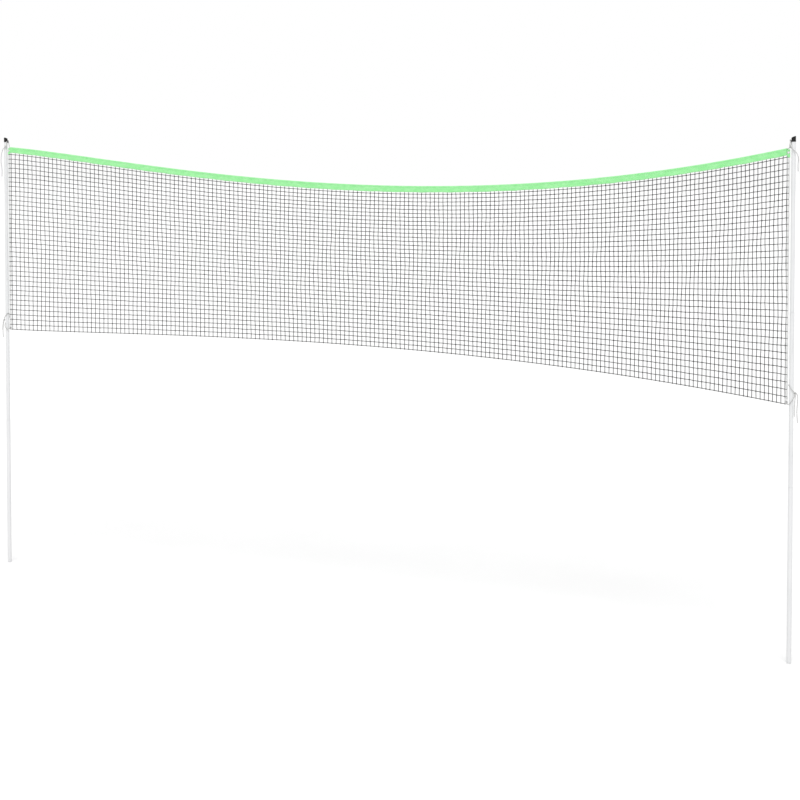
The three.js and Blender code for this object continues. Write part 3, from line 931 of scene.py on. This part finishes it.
def folded_tape(side, outer_inset, width, low, high, thickness, name, finish):
    """A strip of cloth folded over the net's edge, with its fold towards the pole."""
    heights = np.linspace(low, high, max(6, round((high - low) / 0.004)) + 1)

    def one_face(half, setback):
        turns = [math.pi * i / 8 for i in range(9)]
        fold = [(half * (1 - math.sin(turn)) + setback, half * math.cos(turn)) for turn in turns]
        leg = [(width * share, half) for share in (1.0, 0.97, 0.75, 0.5, 0.3)]
        return leg + fold + [(across, -depth) for across, depth in reversed(leg)]

    outside = one_face(thickness / 2, 0.0)
    inside = one_face(thickness / 2 - TAPE_CLOTH, TAPE_CLOTH)
    section = np.array(outside + inside[::-1])
    wobble = 0.00025 * np.sin(heights * 180) + 0.0002 * np.sin(heights * 437 + 1.0)
    thick = 1 + 0.06 * np.sin(heights * 260 + 0.5)
    x = x_at_inset(side, outer_inset) - SIDES[side] * (section[None, :, 0] + wobble[:, None])
    y = section[None, :, 1] * thick[:, None]
    z = np.repeat(heights[:, None], len(section), axis=1)
    vertices = np.stack([x, y, z], axis=-1).reshape(-1, 3)
    faces = closed_strip_faces(len(heights), len(section))
    if side == "right":
        faces = [face[::-1] for face in faces]
    return add_mesh(name, vertices, faces, finish)


def closed_strip_faces(rings, sides):
    """Faces of a folded strip whose section goes once over its outside and back over its inside."""
    faces = grid_faces(rings, sides).tolist()
    for base, turned in ((0, False), ((rings - 1) * sides, True)):
        for i in range(sides // 2 - 1):
            quad = [base + i, base + i + 1, base + sides - 2 - i, base + sides - 1 - i]
            faces.append(quad[::-1] if turned else quad)
    return faces


def cut_hole(piece, x, z, radius):
    """Cuts a round hole along Y through a thin piece."""
    quarter_turn = Vector((0, 1, 0)).rotation_difference(Vector((0, 0, 1))).to_matrix()
    cutter_mesh = bpy.data.meshes.new("cutter")
    drill = bmesh.new()
    bmesh.ops.create_cone(drill, cap_ends=True, segments=28, radius1=radius, radius2=radius, depth=0.02)
    bmesh.ops.rotate(drill, verts=drill.verts, matrix=quarter_turn)
    bmesh.ops.translate(drill, verts=drill.verts, vec=(x, 0, z))
    drill.to_mesh(cutter_mesh)
    drill.free()
    cutter = bpy.data.objects.new("cutter", cutter_mesh)
    bpy.context.scene.collection.objects.link(cutter)
    modifier = piece.modifiers.new("hole", "BOOLEAN")
    modifier.object = cutter
    modifier.solver = "EXACT"
    evaluated = piece.evaluated_get(bpy.context.evaluated_depsgraph_get())
    mesh = bpy.data.meshes.new_from_object(evaluated)
    piece.modifiers.clear()
    piece.data = mesh
    bpy.data.objects.remove(cutter)


def add_side_tape(side):
    """The tape that binds the net's side, with its corner patch, the band's sleeve, eyelets and stitches."""
    tape_low, tape_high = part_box(f"{side}_side_tape")
    corner_low, corner_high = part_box(f"{side}_bottom_corner")
    width = tape_high.x - tape_low.x
    thickness = tape_high.y - tape_low.y
    inset = min(abs(POLE_X[side] - tape_low.x), abs(POLE_X[side] - tape_high.x))
    eyelets = {end: sum(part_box(f"{side}_{end}_eyelet"), Vector()) / 2 for end in ("top", "bottom")}

    tape = folded_tape(side, inset, width, corner_low.z + CORNER_HEM, tape_high.z, thickness,
                       f"{side}_side_tape_cloth", WHITE_CLOTH)
    for centre in eyelets.values():
        cut_hole(tape, centre.x, centre.z, EYELET_BARREL_RADIUS)
    settle_blended(tape, [f"{side}_side_tape"])

    over_tape = (inset - PATCH_CLOTH, width + 2 * PATCH_CLOTH)
    patch_thickness = thickness + 2 * PATCH_CLOTH
    corner = folded_tape(side, *over_tape, corner_low.z, corner_high.z, patch_thickness,
                         f"{side}_bottom_corner_cloth", WHITE_CLOTH)
    cut_hole(corner, eyelets["bottom"].x, eyelets["bottom"].z, EYELET_BARREL_RADIUS)
    settle(corner, "net_foot", [f"{side}_bottom_corner"])

    sleeve = folded_tape(side, *over_tape, tape_high.z - END_SLEEVE_HEIGHT, tape_high.z + END_SLEEVE_RISE,
                         patch_thickness, f"{side}_band_end_sleeve", GREEN_CLOTH)
    cut_hole(sleeve, eyelets["top"].x, eyelets["top"].z, EYELET_BARREL_RADIUS)
    settle(sleeve, "raised_net", ["top_band"])

    seam = x_at_inset(side, inset + width * TAPE_SEAM_SHARE)
    for side_name, depth in (("front", -thickness / 2), ("back", thickness / 2)):
        starts = np.arange(corner_high.z + TAPE_SEAM_START,
                           tape_high.z - END_SLEEVE_HEIGHT - TAPE_SEAM_START, STITCH_PITCH)
        line = [np.stack([0 * z + seam, 0 * z + depth, z], axis=1) for z in (starts, starts + STITCH_LENGTH)]
        stitches = add_mesh(f"{side}_tape_stitches_{side_name}", *stitch_bars(*line, depth), WHITE_THREAD)
        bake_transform(stitches)
    for end, body in (("top", "raised_net"), ("bottom", "net_foot")):
        add_eyelet(side, end, body)
    return tape


def add_eyelet(side, end, body):
    """A pressed two-part eyelet with rolled flanges."""
    name = f"{side}_{end}_eyelet"
    low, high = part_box(name)
    centre = (low + high) / 2
    flange = (high.x - low.x) / 2
    under = (high.y - low.y) / 2 + PATCH_CLOTH - EYELET_ROLL
    middle = (EYELET_HOLE_RADIUS + flange) / 2
    half = (flange - EYELET_HOLE_RADIUS) / 2
    turns = [math.pi * i / EYELET_STEPS for i in range(EYELET_STEPS + 1)]
    profile = [(middle - half * math.cos(turn), under + EYELET_ROLL * math.sin(turn)) for turn in turns]
    profile += [(EYELET_BARREL_RADIUS, under), (EYELET_BARREL_RADIUS, -under)]
    profile += [(middle + half * math.cos(turn), -under - EYELET_ROLL * math.sin(turn)) for turn in turns]
    vertices, faces = lathe(profile, 0, axis="Y", centre=(centre.x, centre.z), sides=32)
    settle(add_mesh(name + "_pressed", vertices, faces, NICKEL), body, [name])


# ---- Poles ----

def pole_tube(side, part, spigot_radius):
    name = f"{side}_{part}_tube"
    low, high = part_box(name)
    outer = (high.x - low.x) / 2
    inner = outer - TUBE_WALL
    top = high.z - TUBE_WALL / 2
    start = low.z + TUBE_WALL / 2
    if spigot_radius is None:
        profile = lip(inner, outer, start, -1) + lip(outer, inner, top, 1)
    else:
        shoulder = low.z + SPIGOT_LENGTH
        spigot_inner = spigot_radius - TUBE_WALL
        profile = lip(spigot_inner, spigot_radius, start, -1)
        profile.append((spigot_radius, shoulder - 0.0002))
        for i in range(1, 5):
            angle = math.pi / 2 * i / 4
            widening = (outer - spigot_radius) * math.sin(angle)
            profile.append((spigot_radius + widening, shoulder + SHOULDER_HEIGHT * (1 - math.cos(angle))))
        profile += lip(outer, inner, top, 1)
        profile += [(inner, shoulder + 0.006), (spigot_inner, shoulder)]
    vertices, faces = lathe(profile, POLE_X[side])
    return add_mesh(name + "_coated", vertices, faces, PAINT)


def add_pole(side):
    bodies = {
        "left": {"lower": "ground_sections", "middle": "left_middle", "upper": "raised_net"},
        "right": {"lower": "ground_sections", "middle": "right_middle", "upper": "right_upper"},
    }[side]
    below = None
    for part, body in bodies.items():
        low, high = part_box(f"{side}_{part}_tube")
        spigot = None if below is None else below - TUBE_WALL - SPIGOT_CLEARANCE
        settle(pole_tube(side, part, spigot), body, [f"{side}_{part}_tube"])
        below = (high.x - low.x) / 2
    add_cap(side, bodies["upper"])
    add_spike(side)


def add_cap(side, body):
    """A moulded cap: slanted crown with a rounded edge, a bead round its foot, a hook towards the net."""
    name = f"{side}_pole_cap"
    low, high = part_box(name)
    radius = (high.y - low.y) / 2
    tube_low, tube_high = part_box(f"{side}_upper_tube")
    tube_radius = (tube_high.x - tube_low.x) / 2
    head_bottom = high.z - CAP_HEIGHT
    plug = tube_radius - TUBE_WALL - SPIGOT_CLEARANCE
    toward_net = -SIDES[side]
    angles = around(ROUND_SIDES)

    def crown(across):
        return high.z - CAP_SLANT_DROP * (across + radius) / (2 * radius)

    wall = radius - CAP_BEAD
    rings = [(0.0001, low.z), (plug - 0.0006, low.z), (plug, low.z + 0.0008), (plug, head_bottom),
             (radius - 0.0004, head_bottom), (radius, head_bottom + 0.0004),
             (radius, head_bottom + 0.0016), (wall, head_bottom + 0.0022)]
    vertices = []

    def add_ring(ring_radius, height, slanted=True):
        across = ring_radius * np.cos(angles)
        heights = crown(across) + height if slanted else np.full(ROUND_SIDES, height)
        vertices.append(np.stack([across, ring_radius * np.sin(angles), heights], axis=1))

    for ring_radius, height in rings:
        add_ring(ring_radius, height, slanted=False)
    for i in range(7):
        angle = math.pi / 2 * i / 6
        add_ring(wall - CAP_EDGE * (1 - math.cos(angle)), -CAP_EDGE * (1 - math.sin(angle)))
    for share in (0.75, 0.45, 0.36, 0.30, 0.01):
        add_ring((wall - CAP_EDGE) * share, 0.00025 * (1 - share**2) if share > 0.4 else -0.0002)
    count = len(vertices)
    vertices = np.concatenate(vertices)
    faces = grid_faces(count, ROUND_SIDES).tolist()
    last = (count - 1) * ROUND_SIDES
    faces.append(list(range(ROUND_SIDES))[::-1])
    faces.append(list(range(last, last + ROUND_SIDES)))
    hook_vertices, hook_faces = cap_hook(radius, tube_radius + PART_GAP, head_bottom)
    faces += [[index + len(vertices) for index in face] for face in hook_faces]
    vertices = np.concatenate([vertices, hook_vertices])
    vertices[:, 0] *= toward_net
    if toward_net < 0:
        faces = [face[::-1] for face in faces]
    vertices[:, 0] += POLE_X[side]
    piece = add_mesh(name + "_moulded", vertices, faces, BLACK_PLASTIC)
    settle(piece, body, [name])


def cap_hook(radius, leg, head_bottom):
    """The hook's strap: down past the head, out towards the net and up again, with its edges rounded off."""
    bottom = head_bottom - HOOK_DROP
    floor = bottom + HOOK_THICKNESS
    lip_top = bottom + HOOK_LIP_HEIGHT
    lip = HOOK_REACH - HOOK_LIP_THICKNESS
    root_top = head_bottom + HOOK_ROOT_HEIGHT
    soft = 0.00035
    outline = np.array([
        (radius - 2 * soft, root_top), (radius - 2 * soft, head_bottom + soft), (leg, head_bottom),
        (leg, bottom + 3 * soft), (leg + soft, bottom + soft), (leg + 3 * soft, bottom),
        (HOOK_REACH - 3 * soft, bottom), (HOOK_REACH - soft, bottom + soft), (HOOK_REACH, bottom + 3 * soft),
        (HOOK_REACH, lip_top - soft), (HOOK_REACH - soft, lip_top), (lip + soft, lip_top),
        (lip, lip_top - soft),
        (lip, floor + 2 * soft), (lip - soft / 2, floor + soft / 2), (lip - 2 * soft, floor),
        (leg + HOOK_LEG + 2 * soft, floor), (leg + HOOK_LEG + soft / 2, floor + soft / 2),
        (leg + HOOK_LEG, floor + 2 * soft), (leg + HOOK_LEG, head_bottom), (radius - soft, root_top),
    ])
    along = np.roll(outline, -1, axis=0) - np.roll(outline, 1, axis=0)
    inward = unit(np.stack([-along[:, 1], along[:, 0]], axis=1))
    rounded = outline + inward * soft / 2
    layers = [(rounded, -HOOK_WIDTH / 2), (outline, -HOOK_WIDTH / 2 + soft),
              (outline, HOOK_WIDTH / 2 - soft), (rounded, HOOK_WIDTH / 2)]
    vertices = np.concatenate([
        np.stack([line[:, 0], np.full(len(line), depth), line[:, 1]], axis=1) for line, depth in layers])
    count = len(outline)
    faces = grid_faces(len(layers), count)[:, ::-1].tolist()
    faces.append(list(range(count)))
    faces.append(list(range(3 * count, 4 * count))[::-1])
    return vertices, faces


def add_spike(side):
    """The pointed rod and the ribbed plug that holds it, both out of sight once the pole stands."""
    name = f"{side}_ground_spike"
    low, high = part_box(name)
    radius = (high.x - low.x) / 2
    profile = [(0.00005, low.z), (0.0006, low.z + 0.0008), (radius - 0.0003, low.z + 0.0226),
               (radius, low.z + 0.0245), (radius, high.z - 0.0006), (radius - 0.0006, high.z),
               (0.00005, high.z)]
    vertices, faces = lathe(profile, POLE_X[side])
    settle(add_mesh(name + "_rod", vertices, faces, STEEL), "ground_sections", [name])

    name = f"{side}_foot_plug"
    low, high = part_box(name)
    outer = (high.x - low.x) / 2
    inner = radius + 0.00015
    profile = [(inner, low.z), (outer - 0.0004, low.z), (outer, low.z + 0.0004)]
    for rib in range(5):
        base = low.z + 0.004 + rib * 0.005
        profile += [(outer, base), (outer - 0.0003, base + 0.001), (outer - 0.0003, base + 0.0025),
                    (outer, base + 0.0035)]
    profile += [(outer - 0.0003, high.z), (inner, high.z)]
    vertices, faces = lathe(profile, POLE_X[side])
    plug = add_mesh(name + "_ribbed", vertices, faces, PALE_PLASTIC)
    settle(plug, "ground_sections", [name])


# ---- Studio ----

def add_floor():
    reach = 60.0
    corners = [(x * reach, y * reach, -0.0004) for x, y in ((-1, -1), (1, -1), (1, 1), (-1, 1))]
    floor = add_mesh("floor", corners, [(0, 1, 2, 3)], pale_floor())


def add_sun(name, energy, softness, elevation, azimuth):
    """A soft lamp far away. Azimuth is where it stands, from +X round towards +Y."""
    data = bpy.data.lights.new(name, "SUN")
    data.energy = energy
    data.angle = math.radians(softness)
    lamp = bpy.data.objects.new(name, data)
    up, around = math.radians(elevation), math.radians(azimuth)
    towards = Vector((math.cos(up) * math.cos(around), math.cos(up) * math.sin(around), math.sin(up)))
    lamp.rotation_euler = towards.to_track_quat("Z", "Y").to_euler()
    bpy.context.scene.collection.objects.link(lamp)


def add_world():
    """Plain white seen by the camera, and a weaker even fill for the light it gives."""
    world = bpy.data.worlds.new("studio")
    world.use_nodes = True
    tree = world.node_tree
    background = tree.nodes["Background"]
    background.inputs["Color"].default_value = (1, 1, 1, 1)
    seen = tree.nodes.new("ShaderNodeLightPath").outputs["Is Camera Ray"]
    strength = tree.nodes.new("ShaderNodeMapRange")
    strength.inputs["To Min"].default_value = 0.62
    strength.inputs["To Max"].default_value = 1.0
    tree.links.new(seen, strength.inputs["Value"])
    tree.links.new(strength.outputs["Result"], background.inputs["Strength"])
    bpy.context.scene.world = world


def add_studio():
    add_floor()
    add_world()
    add_sun("key", 1.6, 35.0, 48.0, -62.0)
    add_sun("back", 0.7, 45.0, 60.0, 118.0)
    bpy.context.scene.view_settings.view_transform = "Standard"


# ---- The whole ----

add_camera()
for side in SIDES:
    add_ties(side)
add_edge_cords()
add_net()
BAND = add_band()
for side in SIDES:
    tape = add_side_tape(side)
    add_pole(side)
add_studio()
